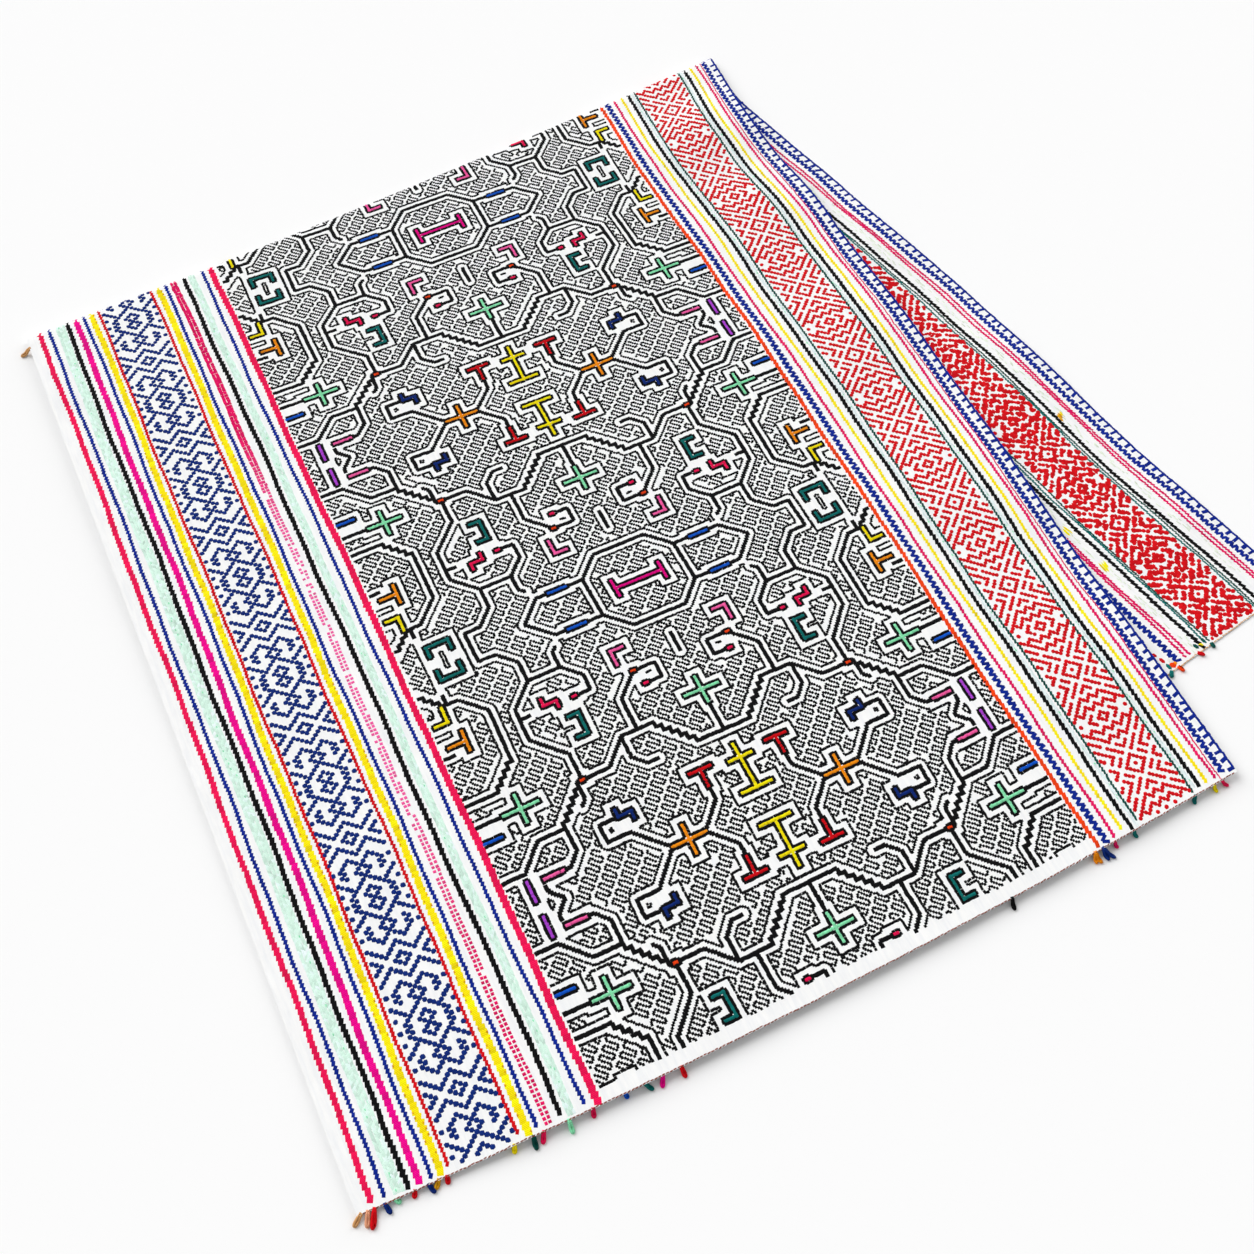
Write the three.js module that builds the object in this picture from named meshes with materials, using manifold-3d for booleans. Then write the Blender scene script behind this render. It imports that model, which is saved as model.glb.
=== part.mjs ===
// An embroidered cotton cloth, folded once across its length and laid flat, face side out.
// Millimetres, +Z up. The cloth rests on z = 0, and the origin is under the middle of its box.
// u runs across the cloth from its left edge, and v along it from the near end of the upper layer,
// over the fold at the far side and back to the end of the lower layer.
import * as THREE from "three";
import { mergeVertices } from "three/addons/utils/BufferGeometryUtils.js";
import Module from "manifold-3d";

// The cloth as it was cut.
const WIDTH = 640;
const LENGTH = 1459;
const THICKNESS = 1.2;

// The fold: where it crosses the left edge, how far it is off square, and the roundness of its turn.
const FOLD_AT_LEFT = 720;
const FOLD_SKEW = THREE.MathUtils.degToRad(4.7);
const FOLD_RADIUS = 2.2;
const FOLD_TURN = Math.PI * FOLD_RADIUS;

// How the flat outline departs from straight lines.
const LEAN = 8;
const NEAR_BOW = 9;
const NEAR_BOW_REACH = 250;
const FOLD_BOW = 6;
const FOLD_BOW_REACH = 200;

// The right border is drawn in and let out by its edging, more and more towards the edge.
const SWAY_FROM = 0.62 * WIDTH;
const UPPER_SWAY = [
  { along: 0, sway: 0 },
  { along: 150, sway: 0 },
  { along: 390, sway: 3.5 },
  { along: 560, sway: 1 },
  { along: 695, sway: -6.5 },
  { along: 775, sway: 0 },
];
const LOWER_SWAY = [
  { along: 0, sway: 0 },
  { along: 60, sway: -10 },
  { along: 190, sway: -1.5 },
  { along: 340, sway: 6.5 },
  { along: 520, sway: 7 },
  { along: 700, sway: 14 },
];

// Soft ripples that lift the right border, each with its middle, height and half length.
const UPPER_RIPPLE_FROM = 0.7 * WIDTH;
const UPPER_RIPPLES = [
  { along: 115, height: 1.5, half: 70 },
  { along: 285, height: 2, half: 80 },
  { along: 450, height: 2.5, half: 75 },
  { along: 590, height: 2, half: 60 },
  { along: 695, height: 4, half: 58 },
];
const LOWER_RIPPLE_FROM = 0.84 * WIDTH;
const LOWER_RIPPLES = [
  { along: 85, height: 2, half: 60 },
  { along: 245, height: 1.5, half: 70 },
  { along: 420, height: 2.5, half: 80 },
  { along: 585, height: 1.5, half: 65 },
];

// Past the lower layer's left edge the upper layer sinks towards the surface.
const SINK = 2.4;
const SINK_FROM = 8;
const SINK_TO = 80;

// Loose ends of embroidery thread at the two cut ends, held in a narrow strip of the edge.
const STRIP = 2.6;
const PARTING = 0.3;
const THREAD = 1.5;
const THREAD_STEPS = 5;
const THREAD_CLEARANCE = 0.06;
const NEAR_THREADS = [
  { across: 3, reach: 9, lean: -9 },
  { across: 7, reach: 11, lean: -5 },
  { across: 11, reach: 13, lean: -3 },
  { across: 17, reach: 9, lean: 3 },
  { across: 23, reach: 6, lean: 5 },
  { across: 36, reach: 6, lean: -3 },
  { across: 44, reach: 10, lean: 1 },
  { across: 51, reach: 6, lean: -3 },
  { across: 56, reach: 6, lean: -1 },
  { across: 99, reach: 6, lean: -2 },
  { across: 111, reach: 11, lean: -2 },
  { across: 118, reach: 10, lean: -3 },
  { across: 134, reach: 11, lean: -3 },
  { across: 150, reach: 9, lean: -2 },
  { across: 171, reach: 5, lean: 2 },
  { across: 184, reach: 6, lean: 4 },
  { across: 197, reach: 7, lean: -3 },
  { across: 209, reach: 9, lean: 1 },
  { across: 452, reach: 10, lean: 0 },
  { across: 519, reach: 10, lean: -2 },
  { across: 525, reach: 14, lean: 0 },
  { across: 535, reach: 7, lean: 4 },
  { across: 551, reach: 7, lean: 1 },
  { across: 604, reach: 6, lean: -2 },
  { across: 620, reach: 7, lean: 2 },
  { across: 626, reach: 6, lean: 5 },
];
const END_THREADS = [
  { across: 521, reach: 6, lean: -3 },
  { across: 527, reach: 7, lean: 2 },
  { across: 545, reach: 5, lean: 3 },
  { across: 558, reach: 7, lean: -2 },
  { across: 606, reach: 5, lean: 2 },
  { across: 624, reach: 6, lean: -2 },
  { across: 634, reach: 7, lean: 4 },
];

// How finely the solids are divided.
const INNER_COLUMNS = 13;
const BORDER_COLUMNS = 10;
const UPPER_ROWS = 26;
const FOLD_ROWS = 6;
const LOWER_ROWS = 24;
const SLOPE_STEP = 0.25;

const COS = Math.cos(FOLD_SKEW);
const SIN = Math.sin(FOLD_SKEW);
const { smoothstep, clamp, lerp } = THREE.MathUtils;

const wasm = await Module();
wasm.setup();

// The value between the rows of a table, easing from each row to the next.
function sway(rows, along) {
  const next = rows.findIndex((row) => row.along >= along);
  if (next === 0) return rows[0].sway;
  if (next < 0) return rows[rows.length - 1].sway;
  const [a, b] = [rows[next - 1], rows[next]];
  return lerp(a.sway, b.sway, smoothstep(along, a.along, b.along));
}

// The height of a row of soft humps.
function ripple(rows, along) {
  let height = 0;
  for (const row of rows) {
    const off = clamp((along - row.along) / row.half, -1, 1);
    height += row.height * Math.cos((off * Math.PI) / 2) ** 2;
  }
  return height;
}

// Where the middle of the cloth's thickness lies, for a point of the flat cloth.
function clothPoint(u, v) {
  const past = (v - FOLD_AT_LEFT) * COS - u * SIN;
  const beside = u * COS + (v - FOLD_AT_LEFT) * SIN;
  const turn = clamp(past / FOLD_RADIUS, 0, Math.PI);
  const lower = turn > Math.PI / 2;
  const back = Math.max(past - FOLD_TURN, 0);
  const inward = Math.min(past, 0) + FOLD_RADIUS * Math.sin(turn) - back;
  const hump = 4 * (u / WIDTH) * (1 - u / WIDTH);

  const drawn = smoothstep(u, SWAY_FROM, WIDTH);
  const shift = drawn * (lower ? sway(LOWER_SWAY, back) : sway(UPPER_SWAY, v));
  let x = beside * COS - inward * SIN + shift;
  let y = FOLD_AT_LEFT + beside * SIN + inward * COS;
  x += LEAN * (lower ? 1 : clamp(y / FOLD_AT_LEFT, 0, 1));
  y -= FOLD_BOW * hump * (1 - smoothstep(Math.abs(inward), 0, FOLD_BOW_REACH));

  let z = THICKNESS / 2 + FOLD_RADIUS * (1 + Math.cos(turn));
  if (lower) {
    z += ripple(LOWER_RIPPLES, back) * smoothstep(u, LOWER_RIPPLE_FROM, WIDTH);
  } else {
    const outside = (FOLD_AT_LEFT - y) * Math.sin(2 * FOLD_SKEW) - x * Math.cos(2 * FOLD_SKEW);
    z -= SINK * smoothstep(outside, SINK_FROM, SINK_TO);
    z += ripple(UPPER_RIPPLES, v) * smoothstep(u, UPPER_RIPPLE_FROM, WIDTH);
    y -= NEAR_BOW * hump * (1 - smoothstep(v, 0, NEAR_BOW_REACH));
  }
  return new THREE.Vector3(x, y, z);
}

// The direction the embroidered face looks in at a point of the flat cloth.
function faceNormal(u, v) {
  const across = clothPoint(u + SLOPE_STEP, v).sub(clothPoint(u - SLOPE_STEP, v));
  const along = clothPoint(u, v + SLOPE_STEP).sub(clothPoint(u, v - SLOPE_STEP));
  return across.cross(along).normalize();
}

// How far along the cloth a line parallel to the fold is, at u across it.
function alongAt(u, past) {
  return FOLD_AT_LEFT + (past + u * SIN) / COS;
}

// Evenly spaced values from one to another, without the last.
function spread(from, to, count) {
  return Array.from({ length: count }, (_, i) => lerp(from, to, i / count));
}

const columns = [
  ...spread(0, SWAY_FROM, INNER_COLUMNS),
  ...spread(SWAY_FROM, WIDTH, BORDER_COLUMNS),
  WIDTH,
];

// A closed sheet of the cloth's thickness over all columns, with a row for each value rowsAt gives.
function sheetGeometry(rowsAt) {
  const rows = rowsAt(0).length;
  const positions = [];
  for (const side of [1, -1]) {
    for (const u of columns) {
      for (const v of rowsAt(u)) {
        const normal = faceNormal(u, v);
        const point = clothPoint(u, v).addScaledVector(normal, (side * THICKNESS) / 2);
        positions.push(point.x, point.y, point.z);
      }
    }
  }
  const backStart = columns.length * rows;
  const face = (column, row) => column * rows + row;
  const back = (column, row) => backStart + face(column, row);
  const index = [];
  const quad = (a, b, c, d) => index.push(a, b, c, a, c, d);
  const lastColumn = columns.length - 1;
  const lastRow = rows - 1;
  for (let c = 0; c < lastColumn; c++) {
    for (let r = 0; r < lastRow; r++) {
      quad(face(c, r), face(c + 1, r), face(c + 1, r + 1), face(c, r + 1));
      quad(back(c, r), back(c, r + 1), back(c + 1, r + 1), back(c + 1, r));
    }
    quad(back(c, 0), back(c + 1, 0), face(c + 1, 0), face(c, 0));
    quad(face(c, lastRow), face(c + 1, lastRow), back(c + 1, lastRow), back(c, lastRow));
  }
  for (let r = 0; r < lastRow; r++) {
    quad(face(0, r), face(0, r + 1), back(0, r + 1), back(0, r));
    quad(back(lastColumn, r), back(lastColumn, r + 1), face(lastColumn, r + 1), face(lastColumn, r));
  }
  const geometry = new THREE.BufferGeometry();
  geometry.setAttribute("position", new THREE.Float32BufferAttribute(positions, 3));
  geometry.setIndex(index);
  return geometry;
}

// The folded cloth, short of the narrow strips at its two ends.
function clothGeometry() {
  return sheetGeometry((u) => [
    ...spread(STRIP + PARTING, alongAt(u, 0), UPPER_ROWS),
    ...spread(alongAt(u, 0), alongAt(u, FOLD_TURN), FOLD_ROWS),
    ...spread(alongAt(u, FOLD_TURN), LENGTH - STRIP - PARTING, LOWER_ROWS),
    LENGTH - STRIP - PARTING,
  ]);
}

// One loose thread: out of the cloth's cut end, and down onto the surface.
function threadGeometry(row, v) {
  const root = clothPoint(row.across, v);
  const half = THREAD / 2;
  const lying = half + THREAD_CLEARANCE;
  root.z = Math.max(root.z, lying);
  const out = (share, sunk) => {
    const ahead = new THREE.Vector3(row.lean * share, -row.reach * share, 0);
    return root.clone().add(ahead).setZ(lerp(root.z, lying, sunk));
  };
  const path = new THREE.CatmullRomCurve3([root, out(0.35, 0.2), out(0.75, 0.85), out(1, 1)]);
  const section = new THREE.Shape();
  section.moveTo(-half, -half).lineTo(half, -half).lineTo(half, half).lineTo(-half, half);
  return new THREE.ExtrudeGeometry(section, {
    steps: THREAD_STEPS,
    extrudePath: path,
    bevelEnabled: false,
  });
}

function toSolid(geometry) {
  const bare = new THREE.BufferGeometry();
  bare.setAttribute("position", geometry.getAttribute("position"));
  bare.setIndex(geometry.index);
  const merged = mergeVertices(bare, 1e-3);
  return new wasm.Manifold(
    new wasm.Mesh({
      numProp: 3,
      vertProperties: merged.getAttribute("position").array,
      triVerts: new Uint32Array(merged.index.array),
    }),
  );
}

function toGeometry(solid) {
  const mesh = solid.getMesh();
  const geometry = new THREE.BufferGeometry();
  geometry.setAttribute("position", new THREE.BufferAttribute(mesh.vertProperties, 3));
  geometry.setIndex(new THREE.BufferAttribute(mesh.triVerts, 1));
  return geometry;
}

// A strip of the cut end with its loose threads rooted in it.
function threadStripGeometry(from, to, threads) {
  const middle = (from + to) / 2;
  const solid = threads.reduce(
    (joined, row) => joined.add(toSolid(threadGeometry(row, middle))),
    toSolid(sheetGeometry(() => [from, to])),
  );
  return toGeometry(solid);
}

function named(name, geometry, color) {
  const material = new THREE.MeshStandardMaterial({ color, roughness: 0.92, metalness: 0 });
  const mesh = new THREE.Mesh(geometry, material);
  mesh.name = name;
  return mesh;
}

const folded = new THREE.Group();
folded.add(
  named("cloth", clothGeometry(), "#f4f3ef"),
  named("near_end_threads", threadStripGeometry(0, STRIP, NEAR_THREADS), "#c8475f"),
  named("under_end_threads", threadStripGeometry(LENGTH - STRIP, LENGTH, END_THREADS), "#c8475f"),
);

// The origin goes under the middle of the whole cloth's box.
const box = new THREE.Box3().setFromObject(folded);
const middle = box.getCenter(new THREE.Vector3());
folded.position.set(-middle.x, -middle.y, -box.min.z);

const part = new THREE.Group();
part.add(folded);
export default part;
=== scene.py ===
"""A folded cotton cloth with counted-thread embroidery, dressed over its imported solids.

Flat places on the cloth are in millimetres: u across it from the plain edge, v along it from the near
end of the upper layer, over the fold and back to the end of the lower layer.
"""

import math
from collections import namedtuple

import bpy
import numpy as np
from bpy.props import FloatProperty, FloatVectorProperty, PointerProperty
from mathutils import Matrix, Vector


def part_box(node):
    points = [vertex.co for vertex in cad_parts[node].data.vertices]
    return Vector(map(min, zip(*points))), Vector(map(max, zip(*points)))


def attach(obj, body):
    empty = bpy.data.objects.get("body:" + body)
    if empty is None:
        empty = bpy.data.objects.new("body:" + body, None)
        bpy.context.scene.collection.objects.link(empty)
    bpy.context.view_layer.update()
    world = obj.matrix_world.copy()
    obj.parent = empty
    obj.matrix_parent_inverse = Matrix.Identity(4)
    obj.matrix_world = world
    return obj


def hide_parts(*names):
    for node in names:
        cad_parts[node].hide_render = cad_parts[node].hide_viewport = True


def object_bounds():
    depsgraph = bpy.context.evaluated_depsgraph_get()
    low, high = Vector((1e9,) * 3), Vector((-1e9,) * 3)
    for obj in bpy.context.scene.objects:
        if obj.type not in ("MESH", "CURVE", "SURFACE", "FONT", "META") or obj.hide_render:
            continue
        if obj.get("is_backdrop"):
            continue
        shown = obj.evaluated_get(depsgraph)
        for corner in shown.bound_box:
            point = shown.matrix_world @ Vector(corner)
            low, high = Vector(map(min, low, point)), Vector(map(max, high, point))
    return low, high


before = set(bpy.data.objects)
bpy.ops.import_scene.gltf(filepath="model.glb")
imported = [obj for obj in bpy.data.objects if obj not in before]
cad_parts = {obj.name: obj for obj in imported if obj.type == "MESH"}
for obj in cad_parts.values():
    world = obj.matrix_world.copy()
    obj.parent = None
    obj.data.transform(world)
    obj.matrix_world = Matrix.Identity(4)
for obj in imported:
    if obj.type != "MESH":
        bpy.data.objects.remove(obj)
CAD_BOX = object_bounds()

bl_info = {
    "name": "Folded Embroidered Cloth",
    "version": (1, 0, 0),
    "blender": (4, 5, 0),
    "location": "View3D > Sidebar > Cloth",
    "description": "Builds a folded cotton cloth, its embroidery and a plain stage",
    "category": "Add Mesh",
}

MM = 0.001
BODY = "root"


def table_of(kind, *values):
    """A table of one kind of row."""
    return tuple(kind(*value) for value in values)


# How the folded cloth departs from flat, as in its solid.
Sway = namedtuple("Sway", "along sway")
Ripple = namedtuple("Ripple", "along height half")
UPPER_SWAY = table_of(Sway, (0, 0), (150, 0), (390, 3.5), (560, 1), (695, -6.5), (775, 0))
LOWER_SWAY = table_of(Sway, (0, 0), (60, -10), (190, -1.5), (340, 6.5), (520, 7), (700, 14))
UPPER_RIPPLES = table_of(Ripple, (115, 1.5, 70), (285, 2, 80), (450, 2.5, 75), (590, 2, 60), (695, 4, 58))
LOWER_RIPPLES = table_of(Ripple, (85, 2, 60), (245, 1.5, 70), (420, 2.5, 80), (585, 1.5, 65))
SWAY_FROM, UPPER_RIPPLE_FROM, LOWER_RIPPLE_FROM = 0.62, 0.7, 0.84
LEAN = 8
NEAR_BOW, NEAR_BOW_REACH = 9, 250
FOLD_BOW, FOLD_BOW_REACH = 6, 200
SINK, SINK_FROM, SINK_TO = 2.4, 8, 80
MIDDLE_HEIGHT = 0.6
EDGE_STRIP, EDGE_SAMPLES = 2.9, 201
SLOPE_STEP = 0.25

# How the stitching puckers the cloth: waves across and along it, each bent by a slower one, that begin
# a little way off the fold.
PUCKER, PUCKER_MIDDLE = 0.3, 0.5
PUCKER_ACROSS, PUCKER_ALONG = 17, 21
BEND_ACROSS, BEND_ALONG, BEND_SHARE = 39, 43, 1.3
PUCKER_FROM, PUCKER_FULL = 5, 60

# The sheet's own divisions.
COLUMNS = 80
UPPER_ROWS, FOLD_ROWS, LOWER_ROWS = 92, 12, 86
RIM_ANGLE = math.radians(50)

# The field's chart: a quarter of its repeat, in steps from the middle of the cloth and of a repeat.
# A route is a list of compass moves, and one in small letters climbs in steps.
FIELD_STEP = 4.12
FIELD_MIDDLE = 338.7
FIELD_START = 125
STEPS_ACROSS, STEPS_ALONG = 44, 46
QUARTER_ACROSS, QUARTER_ALONG = STEPS_ACROSS * FIELD_STEP, STEPS_ALONG * FIELD_STEP
COMPASS = {
    "E": (1, 0),
    "W": (-1, 0),
    "N": (0, 1),
    "S": (0, -1),
    "NE": (1, 1),
    "NW": (-1, 1),
    "SE": (1, -1),
    "SW": (-1, -1),
}
Route = namedtuple("Route", "start moves")
FIELD_PATHS = table_of(
    Route,
    ((0, 14), "E4 ne6 E6 SE4 E5 se6 E5 SE4 E4"),
    ((13, 20), "N6 NW4 W4 S3 E2"),
    ((25, 16), "N5 NE5 N6 NW4 W6 SW3 S3 E2"),
    ((44, 20), "W5 nw5 N9 NE4 E2 ne4"),
    ((0, 38), "E5 NE4 N4"),
    ((9, 42), "E3"),
    ((16, 42), "E2 NE4"),
    ((26, 36), "N4 NE3 E3 N3"),
    ((17, 0), "NE5 E4 N3 W3"),
    ((11, 0), "NW4 N4"),
    ((31, 10), "S4 SE2 E2"),
    ((36, 0), "NE2 N1"),
    ((40, 38), "N2"),
    ((16, 20), "S4 SW2 W2"),
    ((39, 16), "E5"),
    ((0, 19), "S5"),
    ((0, 30), "N4"),
    ((26, 16), "S3 SE1"),
    ((20, 36), "N3 NW1"),
    ((30, 30), "W2"),
    ((44, 29), "W2"),
)

# Filled shapes, as bars between two points in steps, and where each one lies.
SHAPES = {
    "cross": (((-3, 0), (3, 0)), ((0, -2.4), (0, 2.4))),
    "tall cross": (((0, -4), (0, 4)), ((-2, 1.6), (2, 1.6)), ((-2.6, -4), (2.6, -4))),
    "bar": (((-1.6, 0), (1.6, 0)),),
    "beam": (((-4.6, 0), (4.6, 0)), ((-4.6, -1.6), (-4.6, 1.6)), ((4.6, -1.6), (4.6, 1.6))),
    "ell": (((0, 0), (0, 2.8)), ((0, 0), (2.2, 0))),
    "tee": (((-1.8, 0), (1.8, 0)), ((0, 0), (0, -3))),
    "eye": (((-0.2, 0), (0.2, 0)),),
    "hook": (((0, -2), (0, 2)), ((0, 2), (1.8, 2)), ((0, -2), (1.8, -2))),
    "zed": (((-1.3, -1.2), (-1.3, 0)), ((-1.3, 0), (1, 0)), ((1, 0), (1, 1.2))),
}
Inlay = namedtuple("Inlay", "colour shape at quarter_turns")
INLAYS = table_of(
    Inlay,
    ("yellow", "tall cross", (0, 7), 0),
    ("orange", "cross", (14, 0), 0),
    ("scarlet", "tee", (7, 9.4), 0),
    ("navy", "zed", (21.6, 8), 0),
    ("pink", "bar", (36, 4), 0),
    ("purple", "bar", (40.4, 3), 1),
    ("royal", "bar", (42.4, 13), 0),
    ("mint", "cross", (36, 16), 0),
    ("mint", "cross", (0, 22), 0),
    ("teal", "hook", (20.6, 25), 0),
    ("orange", "tee", (39.5, 30.6), 1),
    ("yellow", "ell", (41, 35), 0),
    ("magenta", "beam", (0, 46), 0),
    ("royal", "bar", (14, 42), 0),
    ("crimson", "zed", (24.4, 30.6), 0),
    ("pink", "ell", (11, 35), 2),
    ("vermilion", "eye", (25, 16), 0),
    ("vermilion", "eye", (9, 30), 0),
    ("teal", "hook", (37, 42.6), 1),
    ("crimson", "eye", (8, 27), 0),
    ("crimson", "eye", (20, 30), 0),
)

# The field's lines: half the heavy line, an inlay's core and outline, and how far off its edge the
# echo line and the winding fill keep. A stroke of the fill that heads for the echo line meets it.
# A bead is the square stitch that a line is sewn with.
HEAVY_HALF = 1.35
CORE_HALF, OUTLINE, OUTLINE_TUCK = 1.05, 2.4, 0.35
ECHO_OFF = 3.6
FILL_OFF, FILL_MEETS = ECHO_OFF + 2.6, ECHO_OFF + 0.9
MEETING = 0.6
FILL_COLUMN, FILL_STROKE, FILL_REACH = 11.4, 3.2, 8.2
FILL_PITCH, ECHO_PITCH, HEAVY_PITCH, CORE_PITCH = 1.8, 1.8, 2.1, 1.1
FILL_BEAD, ECHO_BEAD, HEAVY_BEAD = 1.85, 1.9, 3
FILL_RUN = 3
CORE_LAP, CORE_RELIEF = 1.7, 0.8
GRID_STEP, GRID_MARGIN = 0.5, 2
SHORTEST_LINE = 4
ON_AXIS = 0.01

# How the places at one distance from a line turn round its ends: squarely, or with the corners cut off.
SQUARE, EIGHT_SIDED = 2, math.sqrt(2)

# The slow unevenness of rows counted by hand: its height, and its millimetres across and along.
Wave = namedtuple("Wave", "height across along start")
WANDER_ACROSS = table_of(Wave, (0.7, 90, 61, 0), (0.4, math.inf, 23, 2))
WANDER_ALONG = table_of(Wave, (0.7, 47, 120, 0))

# The two charted bands: a quarter of each repeat, on a lattice counted from the band's middle.
Band = namedtuple("Band", "name at colour across along fullness rows routes")
BANDS = (
    Band(
        name="navy_band",
        at=80.8,
        colour="navy",
        across=2.4,
        along=2.0,
        fullness=0.88,
        rows=22,
        routes=table_of(
            Route,
            ((0, 0), "NE2 NW2"),
            ((0, 8), "SE6 SW1 SE1"),
            ((4, 4), "NE4"),
            ((0, 8), "NE2 NW2"),
            ((0, 12), "NE3 SE3 SW1 SE1 SW1"),
            ((0, 16), "NE4 SE4"),
            ((0, 20), "NE2"),
            ((6, 22), "SE2"),
            ((8, 0), "E0"),
            ((8, 4), "E0"),
            ((8, 12), "E0"),
        ),
    ),
    Band(
        name="red_band",
        at=580.4,
        colour="scarlet",
        across=1.9,
        along=1.75,
        fullness=1.05,
        rows=22,
        routes=table_of(
            Route,
            ((0, 2), "SE2"),
            ((4, 2), "SE2"),
            ((10, 0), "E0"),
            ((0, 6), "SE2 NE2 SE3"),
            ((10, 4), "SE1"),
            ((0, 10), "SE2 NE2 SE5 SW1"),
            ((0, 14), "SE2"),
            ((2, 16), "SE4"),
            ((8, 10), "SE3"),
            ((8, 18), "SW2 SE5"),
            ((10, 16), "SE1"),
            ((0, 18), "NE4"),
            ((4, 18), "NE2"),
            ((8, 22), "SE2"),
            ((0, 22), "E0"),
        ),
    ),
)

# How far a cross stitch reaches over its cell.
CROSS_REACH = 1.25

# The borders' rows of stitches, each in the manner it is sewn in.
BorderRow = namedtuple("BorderRow", "at width colour manner")
BORDER_ROWS = table_of(
    BorderRow,
    (11.0, 4.2, "crimson", "rope"),
    (18.4, 2.8, "blue", "beads"),
    (26.5, 7.0, "pale_mint", "floats"),
    (32.5, 3.7, "black", "rope"),
    (39.8, 4.9, "magenta", "rope"),
    (47.3, 2.8, "blue", "beads"),
    (53.3, 5.0, "yellow", "flecked"),
    (58.6, 2.5, "scarlet", "beads"),
    (102.9, 2.5, "scarlet", "beads"),
    (109.0, 5.2, "yellow", "flecked"),
    (114.6, 2.8, "blue", "beads"),
    (122.1, 5.6, "pink", "dashes"),
    (131.1, 3.7, "black", "rope"),
    (137.3, 5.4, "pale_mint", "floats"),
    (145.8, 2.8, "blue", "beads"),
    (154.0, 5.2, "crimson", "rope"),
    (522.3, 3.3, "vermilion", "rope"),
    (529.2, 4.8, "blue", "serrated"),
    (536.6, 2.5, "rose", "beads"),
    (543.9, 2.6, "yellow", "beads"),
    (550.9, 3.2, "black", "rope"),
    (554.6, 2.4, "pale_teal", "floats"),
    (557.5, 2.0, "dark_teal", "beads"),
    (603.2, 2.0, "dark_teal", "beads"),
    (606.0, 2.4, "pale_teal", "floats"),
    (609.6, 3.3, "black", "rope"),
    (615.9, 2.6, "yellow", "beads"),
    (622.9, 2.4, "rose", "beads"),
    (626.9, 1.1, "rose", "beads"),
    (630.4, 4.4, "blue", "serrated"),
)

# What the back of the right border shows, where the lower layer lies bare.
BACK_ROWS = table_of(
    BorderRow,
    (529.2, 4.8, "blue", "serrated"),
    (536.6, 2.1, "rose", "beads"),
    (539.6, 2.1, "rose", "beads"),
    (545.0, 4.6, "pale_green", "flecks"),
    (550.9, 3, "black", "rope"),
    (555.4, 1.6, "teal", "beads"),
    (557.6, 1.5, "dark_teal", "beads"),
    (603.2, 1.6, "teal", "beads"),
    (605.4, 1.5, "dark_teal", "beads"),
    (609.4, 3, "black", "rope"),
    (616.0, 4.6, "pale_green", "flecks"),
    (621.4, 2.1, "rose", "beads"),
    (624.4, 2.1, "rose", "beads"),
    (630.8, 4.4, "blue", "serrated"),
)

# How far the stitches keep from the cut ends, and a piece that is sewn in one part along the cloth.
END_MARGIN, END_SPREAD = 3, 4
FIELD_MARGIN = 10
WHOLE = {"": (0, math.inf)}

# The manners of the rows: pitches and stitches in millimetres, or widths as shares of the row's.
RowSway = namedtuple("RowSway", "height along turns")
ROW_SWAY = table_of(RowSway, (0.45, 37, 1), (0.3, 13, 2))
ROPE_PITCH, ROPE_LENGTH, ROPE_SLANT, ROPE_FULLNESS = 3.8, 5, 0.3, 0.88
FLECK_SHARE, FLECK_SIDE, FLECK_LENGTH, FLECK_WIDTH = 0.6, 0.3, 1.7, 1.5
BEAD_PITCH, BEAD_LENGTH, BEAD_FULLNESS = 2.8, 3.4, 0.85
BEAD_SLANT, BEAD_SLANT_WIDTH = 0.5, 2.8
SERRATED_LEG, SERRATED_WIDTH = 2.4, 2.4
DASH_PITCH, DASH_LENGTH, DASH_FULLNESS, DASH_SHARE = 2.9, 0.7, 0.38, 0.86
DASH_CLOSE_LENGTH, DASH_CLOSE_FULLNESS = 0.32, 0.1
DASH_FADE, DASH_CLOSE = (80, 260), (440, 570)
FLOAT_PITCH, FLOAT_LENGTH, FLOAT_THREADS = 2.1, 4.2, 3.2
SPECK_SHARE, SPECK_LENGTH, SPECK_WIDTH = 0.16, 1.9, 1.2
BACK_FLECK_PITCH, BACK_FLECK_SHARE, BACK_FLECK_WIDTH = 1.3, 0.5, 0.8
BACK_FLECK_SHORT, BACK_FLECK_LONG = 2, 5

# The blanket stitch: teeth across the right edge, and the thread that runs along it.
BLANKET_PITCH, BLANKET_TOOTH, BLANKET_WIDTH = 7.2, 5.8, 2.6
BLANKET_STRAY, BLANKET_SLANT, BLANKET_LOOSE = 0.7, 0.12, 1.6
EDGE_PITCH, EDGE_INSET, EDGE_LENGTH, EDGE_WIDTH = 2.4, 0.8, 3, 1.8

# The thread caught along the raw ends. Along the near end it is a brown line of stitches that paints the
# shade of the cut edge.
RAW_PITCH, RAW_LAP, RAW_WIDTH, RAW_RELIEF = 2.6, 1.1, 0.8, 0.3
RAW_INSET, RAW_SLANT, RAW_CORNER = 0.4, 0.1, 2

# The wrong side of the red band: slanting stitches, strays among them, and where the back lies bare.
BACK_LOOSE, BARE_FROM = 2, 4
BACK_LEAN, BACK_LEAN_SPREAD = 0.75, 0.35
BACK_SHORT, BACK_LONG, BACK_WIDTH = 1.3, 1.9, 3.2
STRAY_SHARE, STRAY_SHORT, STRAY_LONG, STRAY_WIDTH = 0.45, 3, 6, 2.8

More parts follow.
